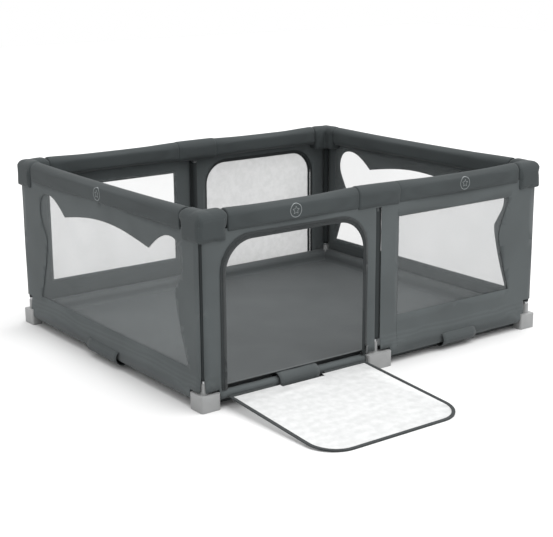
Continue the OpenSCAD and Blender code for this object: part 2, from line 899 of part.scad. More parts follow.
half_turn() zip_pull();  // front_zip_pull
zip_pull();  // back_zip_pull
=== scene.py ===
import json
import math

import bmesh
import bpy
from mathutils import Matrix, Vector, noise


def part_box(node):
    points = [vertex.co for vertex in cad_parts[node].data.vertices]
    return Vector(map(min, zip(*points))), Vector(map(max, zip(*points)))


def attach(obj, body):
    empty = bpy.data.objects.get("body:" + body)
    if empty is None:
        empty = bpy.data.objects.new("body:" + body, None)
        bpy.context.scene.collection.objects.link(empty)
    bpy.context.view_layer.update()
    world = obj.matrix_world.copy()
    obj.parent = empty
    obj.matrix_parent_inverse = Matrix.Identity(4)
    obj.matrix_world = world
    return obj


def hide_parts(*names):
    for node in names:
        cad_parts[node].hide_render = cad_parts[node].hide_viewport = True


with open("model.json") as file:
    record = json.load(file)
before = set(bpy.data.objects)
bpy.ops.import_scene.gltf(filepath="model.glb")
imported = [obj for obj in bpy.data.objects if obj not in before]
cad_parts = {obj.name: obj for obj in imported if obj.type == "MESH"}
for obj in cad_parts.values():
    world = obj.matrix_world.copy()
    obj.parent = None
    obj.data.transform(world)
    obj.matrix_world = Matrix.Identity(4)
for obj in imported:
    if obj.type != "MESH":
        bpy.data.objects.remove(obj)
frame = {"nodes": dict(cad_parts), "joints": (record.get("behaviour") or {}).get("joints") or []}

bl_info = {
    "name": "Fabric Playpen",
    "version": (1, 0, 0),
    "blender": (4, 5, 0),
    "location": "View3D > Sidebar > Playpen",
    "description": "Dresses a tube-framed playpen in padded, woven and mesh fabric",
    "category": "Object",
}

MM = 0.001
ROOT = "root"


# Sizes taken from the frame

def low(node, axis):
    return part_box(node)[0][axis]


def high(node, axis):
    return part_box(node)[1][axis]


def middle(node, axis):
    return (low(node, axis) + high(node, axis)) / 2


def joint_place(name):
    return next(j["pos_m"] for j in frame["joints"] if j["name"] == name)


POST_X = middle("front_right_post", 0)
POST_Y = middle("back_right_post", 1)
MID_X = middle("back_mid_post", 0)
POSTS = [(x, y) for x in (-POST_X, POST_X) for y in (-POST_Y, POST_Y)]
POSTS += [(MID_X, POST_Y), (-MID_X, -POST_Y)]
OUTER_X = high("back_right_foot", 0)
OUTER_Y = high("back_right_foot", 1)
HEM_X = middle("right_low_rail", 0)
HEM_Y = middle("back_right_low_rail", 1)
HEM_Z = middle("right_low_rail", 2)
HEM_R = high("right_wall", 0) - HEM_X
BAND_R = high("support_bands", 0) - HEM_X
WALL_X = high("right_window_mesh", 0)
WALL_Y = high("back_window_mesh", 1)
WALL_TOP = high("right_wall", 2)
PAD_LOW = low("right_pad", 2)
PAD_TOP = high("right_pad", 2)
PAD_R = (high("right_pad", 0) - low("right_pad", 0)) / 2
DOOR_X = middle("back_door_binding", 0)
DOOR_HALF = (high("back_door_binding", 0) - low("back_door_binding", 0)) / 2 + 5 * MM
FOLD_Y = middle("back_door_binding", 1)
FOLD_Z = joint_place("back_door_fold")[2]

# Axis that each side faces along, and its sign
SIDES = {"front": (1, -1), "back": (1, 1), "left": (0, -1), "right": (0, 1)}
CORNERS = {"front_left": (-1, -1), "front_right": (1, -1), "back_left": (-1, 1), "back_right": (1, 1)}

WEAVE = 2.0 * MM  # pitch of the threads, coarser than the real 0.5 mm so that they show
NET = 3.0 * MM  # pitch of the mesh, about twice the real one
MEAN_OF_THREE = 0.3333
CLOTH_FRAMES = 20
SHARP = math.radians(50)  # an edge that turns further than this is rounded
ON_TOP = 0.1 * MM  # height of a stitch over its cloth
RIPPLE_SPAN = 190 * MM

# Cover, axis it faces along, and place along the rail of each printed mark
MARKS = (("front_left_pad", 1, -402 * MM), ("front_right_pad", 1, 380 * MM), ("left_pad", 0, 0.0))

PAPER = (0.72, 0.72, 0.72, 1)
LAMP_AT = (1.4, -1.2, 5.0)
LAMP_SPREAD = math.radians(70)
CAMERA_AT = (-2.8349, -3.8406, 1.4735)
CAMERA_YAW, CAMERA_PITCH, CAMERA_ROLL = 0.6363, 0.2547, -0.0066


def srgb(code):
    """Linear colour with full alpha from an sRGB hex string."""
    parts = [int(code[i:i + 2], 16) / 255 for i in (0, 2, 4)]
    lin = [c / 12.92 if c <= 0.04045 else ((c + 0.055) / 1.055) ** 2.4 for c in parts]
    return (*lin, 1.0)


def colour_prop(name, description, code):
    return bpy.props.FloatVectorProperty(
        name=name, description=description, subtype="COLOR", size=4, min=0, max=1, default=srgb(code))


def length_prop(name, description, mm):
    return bpy.props.FloatProperty(
        name=name, description=description, default=mm * MM, min=0, subtype="DISTANCE", unit="LENGTH")


def plain_prop(name, description, value):
    return bpy.props.FloatProperty(name=name, description=description, default=value)


class PlaypenSizes(bpy.types.PropertyGroup):
    swell: length_prop("Swell", "How far the filling may push a cover out", 4)
    voxel: length_prop("Cloth cell", "Size of a cloth cell in the padded covers", 8)
    ripple: length_prop("Ripple", "Depth of the soft ripples in the wall fabric", 1.2)
    cell: length_prop("Wall cell", "Spacing of the points in the wall fabric", 30)
    cloth: length_prop("Fabric thickness", "Thickness of the wall fabric", 1.6)
    stitch: length_prop("Stitch length", "Length of one stitch", 5)
    stitch_gap: length_prop("Stitch spacing", "Distance from one stitch to the next", 9)
    thread: length_prop("Thread", "Radius of the sewing thread", 0.55)
    binding_w: length_prop("Binding width", "Width of the tape bound round a door panel", 12)
    binding_t: length_prop("Binding thickness", "Thickness of the tape bound round a door panel", 4.4)
    door_r: length_prop("Doorway corner", "Radius of the upper corners of a doorway", 110)
    tape_w: length_prop("Zip tape width", "Width of the zip tape round a doorway", 12)
    tape_lap: length_prop("Zip tape lap", "How far the zip tape laps into the doorway", 9)
    tooth: length_prop("Zip tooth pitch", "Distance from one zip tooth to the next", 5)
    foot_edge: length_prop("Foot edge", "Radius of the moulded edges of the feet", 2.5)
    mark_r: length_prop("Mark radius", "Radius of the printed ring on the rail covers", 24)


class PlaypenColours(bpy.types.PropertyGroup):
    cover: colour_prop("Rail covers", "Woven cover of the padded rails", "3A3F40")
    wall: colour_prop("Walls", "Woven wall fabric", "505556")
    floor: colour_prop("Floor", "Coated floor fabric", "474B4C")
    # Trim colour, also put on the post sleeves as painted shade of the groove between the wall panels
    dark: colour_prop("Trim", "Binding tape, zip tape and post sleeves", "2B2F30")
    net: colour_prop("Window mesh", "Knitted mesh of the windows", "7C8081")
    door_net: colour_prop("Door mesh", "Knitted mesh of the door panels", "D2D3D3")
    foot: colour_prop("Feet", "Moulded feet", "8C8D8D")
    steel: colour_prop("Steel", "Zinc-plated tube", "B9BABB")
    nickel: colour_prop("Zip metal", "Sliders and pulls", "6E7071")
    print_ink: colour_prop("Print", "Printed marks on the rail covers", "8D9293")


class PlaypenStage(bpy.types.PropertyGroup):
    floor_half: length_prop("Floor half size", "Half the width of the pale floor", 14000)
    lens: plain_prop("Lens", "Focal length in millimetres", 80.36)
    key: plain_prop("Overhead light", "Strength of the soft overhead light", 2.7)
    sky: plain_prop("Sky", "Strength of the even white light", 1.0)


def sizes():
    return bpy.context.scene.playpen_sizes


def colours():
    return bpy.context.scene.playpen_colours


def put(target, **values):
    """Sets several attributes of one thing, and returns it."""
    for key, value in values.items():
        setattr(target, key, value)
    return target


# Materials

def add_node(tree, kind, links=None, **settings):
    """Adds a node; links maps an input's name or number to a socket or a constant."""
    made = put(tree.nodes.new(kind), **settings)
    for name, value in (links or {}).items():
        if isinstance(value, bpy.types.NodeSocket):
            tree.links.new(value, made.inputs[name])
        else:
            made.inputs[name].default_value = value
    return made


def new_material(name, **constants):
    """A material with one Principled shader, whose constants are set on its own sockets."""
    made = bpy.data.materials.new(name)
    made.use_nodes = True
    tree = made.node_tree
    for key, value in constants.items():
        tree.nodes["Principled BSDF"].inputs[key.replace("_", " ")].default_value = value
    return made, tree, add_node(tree, "ShaderNodeTexCoord").outputs["Object"]


def wire(made, **sockets):
    """Links sockets to the shader of a material, and returns the material."""
    tree = made.node_tree
    for key, socket in sockets.items():
        tree.links.new(socket, tree.nodes["Principled BSDF"].inputs[key.replace("_", " ")])
    return made


def combined(tree, operation, a, b):
    return add_node(tree, "ShaderNodeMath", {0: a, 1: b}, operation=operation).outputs[0]


def cloudy(tree, place, scale, detail):
    links = {"Vector": place, "Scale": scale, "Detail": detail}
    return add_node(tree, "ShaderNodeTexNoise", links).outputs["Fac"]


def relief(tree, height, distance, strength, **under):
    links = {"Height": height, "Distance": distance, "Strength": strength, **under}
    return add_node(tree, "ShaderNodeBump", links).outputs[0]


def threads(tree, place, pitch):
    """Mean of three crossed sets of threads; on any flat side two of them show as a weave."""
    look = {"Vector": place, "Scale": math.pi / (10 * pitch), "Distortion": 0.6, "Detail": 1.0,
            "Detail Scale": 2.0}
    x, y, z = [
        add_node(tree, "ShaderNodeTexWave", look, bands_direction=axis).outputs["Fac"]
        for axis in "XYZ"
    ]
    total = combined(tree, "ADD", combined(tree, "ADD", x, y), z)
    return combined(tree, "MULTIPLY", total, MEAN_OF_THREE)


def two_tone(tree, factor, dark, light, low_at=0.35, high_at=0.65):
    ramp = add_node(tree, "ShaderNodeValToRGB", {"Fac": factor})
    for stop, at, colour in zip(ramp.color_ramp.elements, (low_at, high_at), (dark, light)):
        put(stop, position=at, color=colour)
    return ramp.outputs["Color"]


def shade(colour, times):
    return (*[min(1.0, c * times) for c in colour[:3]], 1.0)


def woven(name, colour, pitch, crease, roughness, sheen=0.06):
    """Plain-weave polyester: matt, faintly two-toned, with threads in relief and soft creases."""
    made, tree, place = new_material(
        name, Roughness=roughness, Sheen_Weight=sheen, Sheen_Roughness=0.5, Specular_IOR_Level=0.25
    )
    base = two_tone(tree, cloudy(tree, place, 5.0, 4.0), shade(colour, 0.94), shade(colour, 1.06))
    weave = threads(tree, place, pitch)
    fleck = two_tone(tree, weave, shade((1, 1, 1), 0.80), (1, 1, 1, 1), 0.15, 0.75)
    mixed = add_node(
        tree, "ShaderNodeMix", {0: 1.0, 6: base, 7: fleck}, data_type="RGBA", blend_type="MULTIPLY"
    ).outputs[2]
    long = add_node(tree, "ShaderNodeMapping", {"Vector": place, "Scale": (1.0, 1.0, 0.45)}).outputs[0]
    soft = relief(tree, cloudy(tree, long, 9.0, 2.0), crease, 0.5)
    return wire(made, Base_Color=mixed, Normal=relief(tree, weave, 0.25 * pitch, 0.35, Normal=soft))


def knitted_net(name, colour, hole, thread_cover):
    """Knitted polyester mesh: thin threads round open holes, so most of the light passes."""
    made, tree, place = new_material(name, Roughness=0.8, Specular_IOR_Level=0.2)
    weave = threads(tree, place, NET)
    cover = add_node(
        tree, "ShaderNodeMapRange",
        {"Value": weave, "From Min": 0.30, "From Max": 0.85, "To Min": hole, "To Max": thread_cover},
    ).outputs[0]
    base = two_tone(tree, cloudy(tree, place, 40.0, 2.0), shade(colour, 0.93), shade(colour, 1.05))
    return wire(made, Base_Color=base, Alpha=cover, Normal=relief(tree, weave, 0.3 * NET, 0.05))


def ribbed_tape(name, colour, pitch):
    """Grosgrain tape: close dark ribs across the tape, their crowns coloured lighter as a painted
    highlight.
    """
    made, tree, place = new_material(name, Roughness=0.7, Sheen_Weight=0.08, Specular_IOR_Level=0.3)
    ribs = threads(tree, place, pitch)
    # Colour lighter on the rib crowns and darker between them: painted highlight and shade of the ribs
    base = two_tone(tree, ribs, shade(colour, 0.75), shade(colour, 1.25), 0.2, 0.8)
    return wire(made, Base_Color=base, Normal=relief(tree, ribs, 0.3 * pitch, 0.6))


def moulded(name, colour, grain, roughness):
    """Injection-moulded plastic: even colour, fine spark-eroded grain, soft highlights."""
    made, tree, place = new_material(name, Roughness=roughness, IOR=1.49)
    base = two_tone(tree, cloudy(tree, place, 18.0, 1.0), shade(colour, 0.95), shade(colour, 1.04))
    speck = cloudy(tree, place, 1 / grain, 3.0)
    return wire(made, Base_Color=base, Normal=relief(tree, speck, 0.12 * MM, 0.5))


def plated(name, colour, roughness):
    """Plated metal: grey, with cloudy patches in its colour and roughness."""
    made, tree, place = new_material(name, Metallic=1.0)
    patches = cloudy(tree, place, 60.0, 3.0)
    base = two_tone(tree, patches, shade(colour, 0.86), shade(colour, 1.06))
    rough = add_node(
        tree, "ShaderNodeMapRange",
        {"Value": patches, "To Min": roughness - 0.07, "To Max": roughness + 0.09},
    ).outputs[0]
    return wire(made, Base_Color=base, Roughness=rough)


MATERIALS = {}


def make_materials():
    c = colours()
    MATERIALS.update(
        cover=woven("Woven polyester cover over foam", c.cover, WEAVE, 1.2 * MM, 0.82),
        wall=woven("Woven polyester wall", c.wall, WEAVE, 1.0 * MM, 0.85),
        band=woven("Woven polyester band", shade(c.wall, 0.82), WEAVE, 1.5 * MM, 0.85),
        # Near-black sleeve cloth: painted shade of the groove at each post, also used for the wall seam
        # stitches
        sleeve=woven("Near-black seam thread and painted post groove shade", c.dark, WEAVE, 1.5 * MM, 0.85),
        # Near-black tube inside each support band: painted shade in the hollow of the band
        lining=woven("Woven polyester lining", shade(c.dark, 0.35), WEAVE, 1.0 * MM, 0.95),
        floor=woven("Coated polyester floor", c.floor, 1.5 * WEAVE, 2.0 * MM, 0.65, 0.1),
        net=knitted_net("Knitted window mesh", c.net, 0.28, 0.39),
        door_net=knitted_net("Knitted door mesh", c.door_net, 0.70, 0.77),
        tape=ribbed_tape("Grosgrain binding tape", c.dark, WEAVE),
        tooth=moulded("Moulded acetal zip teeth", shade(c.dark, 0.8), 0.6 * MM, 0.4),
        thread=ribbed_tape("Spun polyester thread", shade(c.cover, 1.25), 0.5 * WEAVE),
        foot=moulded("Moulded polypropylene", c.foot, 0.8 * MM, 0.45),
        core=moulded("Moulded nylon connector", shade(c.dark, 1.5), 0.8 * MM, 0.5),
        steel=plated("Zinc-plated steel tube", c.steel, 0.38),
        nickel=plated("Die-cast zinc, black nickel", c.nickel, 0.32),
        ink=ribbed_tape("Screen-printed ink", c.print_ink, WEAVE),
    )


def finish(obj, material):
    """Gives a CAD node its own material."""
    obj.data.materials.clear()
    obj.data.materials.append(MATERIALS[material])


# Mesh tools

def node_mesh(name):
    """The CAD solid as a joined-up mesh to work on."""
    bm = bmesh.new()
    bm.from_mesh(frame["nodes"][name].data)
    bmesh.ops.remove_doubles(bm, verts=bm.verts, dist=0.02 * MM)
    return bm


def unit(axis):
    return Vector([1.0 if i == axis else 0.0 for i in range(3)])


def cut(bm, axis, at, drop_below=False):
    return bmesh.ops.bisect_plane(
        bm, geom=bm.verts[:] + bm.edges[:] + bm.faces[:], dist=1e-6, plane_co=unit(axis) * at,
        plane_no=unit(axis), clear_inner=drop_below,
    )["geom_cut"]


def half_turn(bm):
    bmesh.ops.rotate(bm, verts=bm.verts, cent=(0, 0, 0), matrix=Matrix.Rotation(math.pi, 3, "Z"))


def drop_loose(bm):
    bmesh.ops.delete(bm, geom=[v for v in bm.verts if not v.link_edges], context="VERTS")


def block(bm, size, centre):
    """A box about its centre; returns its points."""
    points = bmesh.ops.create_cube(bm, size=1.0)["verts"]
    bmesh.ops.scale(bm, verts=points, vec=size)
    bmesh.ops.translate(bm, verts=points, vec=centre)
    return points


def rounded(bm, edges, radius, segments):
    bmesh.ops.bevel(bm, geom=edges, offset=radius, segments=segments, profile=0.5, affect="EDGES",
                    material=-1)


def area_of(bm):
    return sum(f.calc_area() for f in bm.faces)


def clamped(value):
    return min(1.0, max(0.0, value))


def outline(name, axis, at, foot=None):
    """Only the edges where a flat plane cuts a CAD solid, closed along the foot line."""
    bm = node_mesh(name)
    edges = {e for e in cut(bm, axis, at) if isinstance(e, bmesh.types.BMEdge)}
    bmesh.ops.delete(bm, geom=bm.faces[:], context="FACES_ONLY")
    bmesh.ops.delete(bm, geom=[e for e in bm.edges if e not in edges], context="EDGES_FACES")
    drop_loose(bm)
    if foot is not None:
        cut(bm, 2, foot, drop_below=True)
        drop_loose(bm)
        along = 1 - axis
        ends = sorted((v for v in bm.verts if len(v.link_edges) == 1), key=lambda v: v.co[along])
        for a, b in zip(ends[::2], ends[1::2]):
            bm.edges.new((a, b))
    bmesh.ops.remove_doubles(bm, verts=bm.verts, dist=0.05 * MM)
    return bm


def filled(name, axis, at, cell, foot=None):
    """A flat sheet with the outline of a CAD solid, cut into cells so that it can ripple."""
    bm = outline(name, axis, at, foot)
    bmesh.ops.triangle_fill(bm, edges=bm.edges[:], use_beauty=True, normal=unit(axis))
    for way in (1 - axis, 2):
        lo = min(v.co[way] for v in bm.verts)
        hi = max(v.co[way] for v in bm.verts)
        count = max(2, round((hi - lo) / cell))
        for i in range(1, count):
            cut(bm, way, lo + (hi - lo) * i / count)
    bmesh.ops.remove_doubles(bm, verts=bm.verts, dist=0.2 * MM)
    for f in bm.faces:
        if f.normal[axis] < 0:
            f.normal_flip()
    return bm


def rippled(bm, axis, depth, size, seed):
    """Moves the points along one axis by slow noise, as slack fabric lies."""
    for v in bm.verts:
        v.co[axis] += depth * noise.noise(v.co / size + Vector((seed, 2.3 * seed, 0)))


def faced_out(bm):
    bmesh.ops.recalc_face_normals(bm, faces=bm.faces[:])


def thickened(bm, thickness):
    bmesh.ops.solidify(bm, geom=bm.faces[:], thickness=thickness)
    return bm


def extruded(bm, edges):
    """Extrudes loose edges, and returns the new points and the edges between them."""
    out = bmesh.ops.extrude_edge_only(bm, edges=edges)["geom"]
    points = [g for g in out if isinstance(g, bmesh.types.BMVert)]
    return points, [
        g for g in out if isinstance(g, bmesh.types.BMEdge) and all(v in points for v in g.verts)
    ]


def edges_at(points):
    return list({e for v in points for e in v.link_edges})


def drawn_out(bm, ring, step, count):
    """Extrudes a closed ring of points in equal steps, and returns every ring."""
    rings, edges = [list(ring)], edges_at(ring)
    for _ in range(count):
        points, edges = extruded(bm, edges)
        bmesh.ops.translate(bm, verts=points, vec=step)
        rings.append(points)
    return rings


def run_along(bm, axis, start, end, steps, section):
    """A tube along an axis, with the given points as its section."""
    ring = bmesh.ops.create_circle(bm, cap_ends=False, segments=len(section), radius=1.0)["verts"]
    for v, (a, z) in zip(ring, section):
        v.co = Vector((start, a, z)) if axis == 0 else Vector((a, start, z))
    return drawn_out(bm, ring, unit(axis) * ((end - start) / steps), steps)


def circle_of(centre, z, radius, count):
    turns = [2 * math.pi * i / count for i in range(count)]
    return [(centre + radius * math.cos(a), z + radius * math.sin(a)) for a in turns]


def pad_section(centre, half, z0, z1, r_low, count=40):
    """Upright section of a rail cover: round top, softer bottom corners, straight sides."""
    points = []
    for i in range(count):
        a = 2 * math.pi * i / count
        c, s = math.cos(a), math.sin(a)
        r, level = (half, z1 - half) if s >= 0 else (r_low, z0 + r_low)
        points.append((centre + math.copysign(half - r, c) * (abs(c) > 1e-6) + r * c, level + r * s))
    return points


def close_ends(bm, rings):
    for ring in (rings[0], rings[-1]):
        inside = set(ring)
        edges = [e for e in bm.edges if e.is_boundary and all(v in inside for v in e.verts)]
        face = bmesh.ops.contextual_create(bm, geom=edges)["faces"]
        for _ in range(2):
            bmesh.ops.inset_region(bm, faces=face, thickness=8 * MM, depth=2 * MM,
                                   use_even_offset=True)


def add_object(name, data):
    made = bpy.data.objects.new(name, data)
    bpy.context.collection.objects.link(made)
    return made


def piece(name, bm, material, body=ROOT, nodes=(), fix_normals=True):
    if fix_normals:
        faced_out(bm)
    for f in bm.faces:
        f.smooth = True
    mesh = bpy.data.meshes.new(name)
    bm.to_mesh(mesh)
    bm.free()
    mesh.materials.append(MATERIALS[material])
    obj = add_object(name, mesh)
    if nodes:
        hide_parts(*nodes)
    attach(obj, body)
    return obj


def modifier(obj, kind, **settings):
    return put(obj.modifiers.new(kind.title(), kind), **settings)


def merged(into, bm):
    """Moves one mesh into another."""
    spare = bpy.data.meshes.new("spare")
    bm.to_mesh(spare)
    bm.free()
    into.from_mesh(spare)
    bpy.data.meshes.remove(spare)


def evaluated(obj):
    """The object as its modifiers leave it."""
    return obj.evaluated_get(bpy.context.evaluated_depsgraph_get())


def stitch_row(bm, points, outward, up_by):
    """Short raised stitches along a line of points."""
    s = sizes()
    left = 0.0
    for a, b in zip(points, points[1:]):
        span = (b - a).length
        at = left
        while at < span:
            t = (b - a).normalized()
            spin = Vector((0, 0, 1)).rotation_difference(t).to_matrix().to_4x4()
            place = Matrix.Translation(a + t * at + outward * up_by) @ spin
            bmesh.ops.create_cone(bm, cap_ends=True, segments=6, radius1=s.thread, radius2=s.thread,
                                  depth=s.stitch, matrix=place)
            at += s.stitch_gap
        left = at - span


def arch_path(half, z0, z1, r, step):
    """Points (x, z, angle) along a doorway from one foot, over the top, to the other."""
    quarter, rise, flat = math.pi * r / 2, z1 - r - z0, 2 * (half - r)
    total = 2 * rise + 2 * quarter + flat
    points = []
    for i in range(int(total / step) + 1):
        past_middle = 2 * i * step > total
        d = total - i * step if past_middle else i * step
        if d < rise:
            x, z, angle = -half, z0 + d, math.pi / 2
        elif d < rise + quarter:
            a = (d - rise) / r
            x, z, angle = -half + r - r * math.cos(a), z1 - r + r * math.sin(a), math.pi / 2 - a
        else:
            x, z, angle = -half + r + d - rise - quarter, z1, 0.0
        points.append((-x, z, -angle) if past_middle else (x, z, angle))
    return points


# Pieces

class Step:
    """One building step, run as an operator"""

    def execute(self, context):
        self.build()
        return {"FINISHED"}


PADDED = []
RAIL_PADS = ("front_left", "front_right", "back_left", "back_right", "left", "right")


def padded_tube(name, node, axis, ends_in, shrink):
    """A stuffed cover round a rail, as a closed tube of small square cells."""
    lo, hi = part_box(node)
    centre, half = (lo[1 - axis] + hi[1 - axis]) / 2, (hi[1 - axis] - lo[1 - axis]) / 2 - shrink
    start, end = lo[axis] + ends_in, hi[axis] - ends_in
    bm = bmesh.new()
    section = pad_section(centre, half, lo[2] + shrink, hi[2] - shrink, min(half, 22 * MM))
    rings = run_along(bm, axis, start, end, max(6, round((end - start) / sizes().voxel)), section)
    close_ends(bm, rings)
    obj = piece(name, bm, "cover", nodes=(node,))
    PADDED.append(obj)
    return obj


def inflate():
    """Lets the cloth solver fill every padded cover at once, then keeps the shape."""
    limit = sizes().swell
    scene = bpy.context.scene
    rest = {}
    for obj in PADDED:
        rest[obj.name] = [v.co.copy() for v in obj.data.vertices]
        cloth = obj.modifiers.new("Filling", "CLOTH")
        put(cloth.settings, quality=5, mass=0.25, tension_stiffness=18, compression_stiffness=18,
            bending_stiffness=0.6, use_pressure=True, uniform_pressure_force=4, shrink_min=-0.02)
        cloth.settings.effector_weights.gravity = 0
        cloth.collision_settings.use_collision = False
        put(cloth.point_cache, frame_start=1, frame_end=CLOTH_FRAMES)
    for frame_number in range(1, CLOTH_FRAMES + 1):
        scene.frame_set(frame_number)
    graph = bpy.context.evaluated_depsgraph_get()
    for obj in PADDED:
        swollen = [v.co.copy() for v in obj.evaluated_get(graph).data.vertices]
        obj.modifiers.clear()
        for v, a, b in zip(obj.data.vertices, rest[obj.name], swollen):
            step = b - a
            v.co = a + step * min(1.0, limit / max(step.length, 1e-9))
    scene.frame_set(1)
    for obj in PADDED:
        modifier(obj, "SUBSURF", levels=1, render_levels=1)


class PLAYPEN_OT_rail_pads(Step, bpy.types.Operator):
    """Stuffed covers along the six straight runs of the top rail"""
    bl_idname = "playpen.rail_pads"
    bl_label = "Rail Pads"

    def build(self):
        for side in RAIL_PADS:
            axis = 1 if side in SIDES else 0
            made = padded_tube(side + "_pad_cover", side + "_pad", axis, 2 * MM, 2.5 * MM)


class PLAYPEN_OT_mid_covers(Step, bpy.types.Operator):
    """Wider stuffed covers over the middle posts"""
    bl_idname = "playpen.mid_covers"
    bl_label = "Middle Covers"

    def build(self):
        for side in ("front", "back"):
            made = padded_tube(side + "_mid_pad", side + "_mid_cover", 0, 1 * MM, 0.6 * MM)


class PLAYPEN_OT_corner_caps(Step, bpy.types.Operator):
    """Stuffed caps over the four corners, each with two arms along the rails"""
    bl_idname = "playpen.corner_caps"
    bl_label = "Corner Caps"

    def build(self):
        wide, inside, top = 2 * PAD_R + 6 * MM, 2.5 * MM, PAD_TOP + 2 * MM
        for corner, (sx, sy) in CORNERS.items():
            lo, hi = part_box(corner + "_cap")
            spans = [sorted((abs(lo[i]), abs(hi[i]))) for i in (0, 1)]
            near, far = (Vector(corner_at) for corner_at in zip(*spans))
            bm = bmesh.new()
            for axis in (0, 1):
                size = [(far[i] - near[i] if i == axis else wide) - 2 * inside for i in (0, 1)]
                size.append(top - lo[2] - 2 * inside)
                centre = [far[i] - inside - size[i] / 2 for i in (0, 1)] + [(lo[2] + top) / 2]
                arm = block(bm, size, centre)
                for v in arm:
                    if v.co[axis] < centre[axis] and v.co.z < centre[2]:
                        v.co[axis] += 9 * MM
                crown = [e for e in edges_at(arm) if all(v.co.z > centre[2] for v in e.verts)]
                rounded(bm, crown, 27 * MM, 6)
            low_edges = [e for e in bm.edges if e.calc_length() > 5 * MM and e.is_manifold
                         and e.calc_face_angle(0) > SHARP]
            rounded(bm, low_edges, 3 * MM, 1)
            bmesh.ops.scale(bm, verts=bm.verts, vec=(sx, sy, 1))
            made = piece(corner + "_cap_cover", bm, "cover", nodes=(corner + "_cap",))
            modifier(made, "REMESH", mode="VOXEL", voxel_size=0.75 * sizes().voxel)
            bpy.context.view_layer.update()
            joined = bpy.data.meshes.new_from_object(evaluated(made))
            made.modifiers.clear()
            made.data = joined
            for f in joined.polygons:
                f.use_smooth = True
            PADDED.append(made)


class PLAYPEN_OT_filling(Step, bpy.types.Operator):
    """Fills every padded cover"""
    bl_idname = "playpen.filling"
    bl_label = "Filling"

    def build(self):
        inflate()


def sewn_down(bm, shell, x, y, levels, way):
    """A row of stitches down a surface, where level rays from a line beside it meet it."""
    spots = []
    for z in levels:
        found, spot, _, _ = shell.ray_cast(Vector((x, y, z)), way)
        if found:
            spots.append(spot)
    stitch_row(bm, spots, -way, ON_TOP)


class PLAYPEN_OT_cover_seams(Step, bpy.types.Operator):
    """Topstitching at the free edges of the caps and middle covers, and down each cap's corner"""
    bl_idname = "playpen.cover_seams"
    bl_label = "Cover Seams"

    def build(self):
        bm = bmesh.new()
        levels = [PAD_LOW + (PAD_TOP - PAD_LOW) * t / 9 for t in range(-1, 9)]
        for corner, (sx, sy) in CORNERS.items():
            shell = evaluated(bpy.data.objects[corner + "_cap_cover"])
            lo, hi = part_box(corner + "_cap")
            free_x = (lo[0] if sx > 0 else hi[0]) + sx * 20 * MM
            free_y = (lo[1] if sy > 0 else hi[1]) + sy * 20 * MM
            far_x, far_y = sx * (OUTER_X + 0.1), sy * (OUTER_Y + 0.1)
            for x, y, way in (
                (free_x, far_y, (0, -sy, 0)), (far_x, free_y, (-sx, 0, 0)), (far_x, far_y, (-sx, -sy, 0))
            ):
                sewn_down(bm, shell, x, y, levels, Vector(way).normalized())
        for side, sign in (("front", -1), ("back", 1)):
            shell = evaluated(bpy.data.objects[side + "_mid_pad"])
            lo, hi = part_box(side + "_mid_cover")
            for x in (lo[0] + 11 * MM, hi[0] - 11 * MM):
                sewn_down(bm, shell, x, sign * (OUTER_Y + 0.1), levels[1:], Vector((0, -sign, 0)))
        piece("cover_seam_stitches", bm, "thread")


class PLAYPEN_OT_walls(Step, bpy.types.Operator):
    """Wall fabric stretched between the posts, with its hem sleeves round the bottom rails"""
    bl_idname = "playpen.walls"
    bl_label = "Walls"

    def build(self):
        s = sizes()
        for number, (side, (axis, sign)) in enumerate(SIDES.items()):
            at = sign * ((WALL_X, WALL_Y)[axis] + 1.5 * MM)
            bm = filled(side + "_wall", axis, at, s.cell, foot=HEM_Z + 15 * MM)
            along = 1 - axis
            end = max(abs(v.co[along]) for v in bm.verts)
            rippled(bm, axis, s.ripple, RIPPLE_SPAN, 3.1 * number)
            for v in bm.verts:
                over = abs(v.co[along]) - (end - 12 * MM)
                if over > 0:
                    v.co[axis] -= sign * over * over / (120 * MM)
                # The foot of the wall is drawn out round its hem, except beside a doorway
                free = 1.0
                if axis == 1:
                    free = clamped((abs(v.co.x - sign * DOOR_X) - DOOR_HALF - 20 * MM) / (60 * MM))
                t = clamped((HEM_Z + 75 * MM - v.co.z) / (55 * MM))
                v.co[axis] += sign * free * 6.8 * MM * t * t * (3 - 2 * t)
                if v.co.z < HEM_Z + 22 * MM and abs(v.co[along]) < end - 52 * MM:
                    v.co.z = HEM_Z - 2 * MM + (v.co.z - HEM_Z - 15 * MM) * 24 / 7
            area = area_of(bm)
            thickened(bm, s.cloth)
            made = piece(side + "_wall_fabric", bm, "wall", nodes=(side + "_wall",))


def hem_runs():
    """Each stretch of hem: side axis, sign, start and end along it."""
    gap = 2 * MM
    foot_x, foot_y = low("back_right_foot", 0) - gap, low("back_right_foot", 1) - gap
    m0, m1 = low("back_mid_foot", 0) - gap, high("back_mid_foot", 0) + gap
    runs = []
    for sign in (1, -1):
        for a, b in ((-foot_x, m0), (m1, foot_x)):
            runs.append((0, sign, *sorted((sign * a, sign * b))))
        runs.append((1, sign, -foot_y, foot_y))
    return runs


class PLAYPEN_OT_wall_seams(Step, bpy.types.Operator):
    """A row of stitches down the seam beside the window on each long wall"""
    bl_idname = "playpen.wall_seams"
    bl_label = "Wall Seams"

    def build(self):
        bm = bmesh.new()
        levels = [HEM_Z + 22 * MM + i * 10 * MM for i in range(54)]
        levels = [z for z in levels if z <= WALL_TOP - 20 * MM]
        front_edge = low("front_window_mesh", 0) + 10 * MM
        back_edge = high("back_window_mesh", 0) - 8 * MM
        for side, sign, x in (("front", -1, front_edge), ("back", 1, back_edge)):
            wall = evaluated(bpy.data.objects[side + "_wall_fabric"])
            sewn_down(bm, wall, x, sign * 0.9, levels, Vector((0, -sign, 0)))
        piece("wall_seam_stitches", bm, "sleeve")


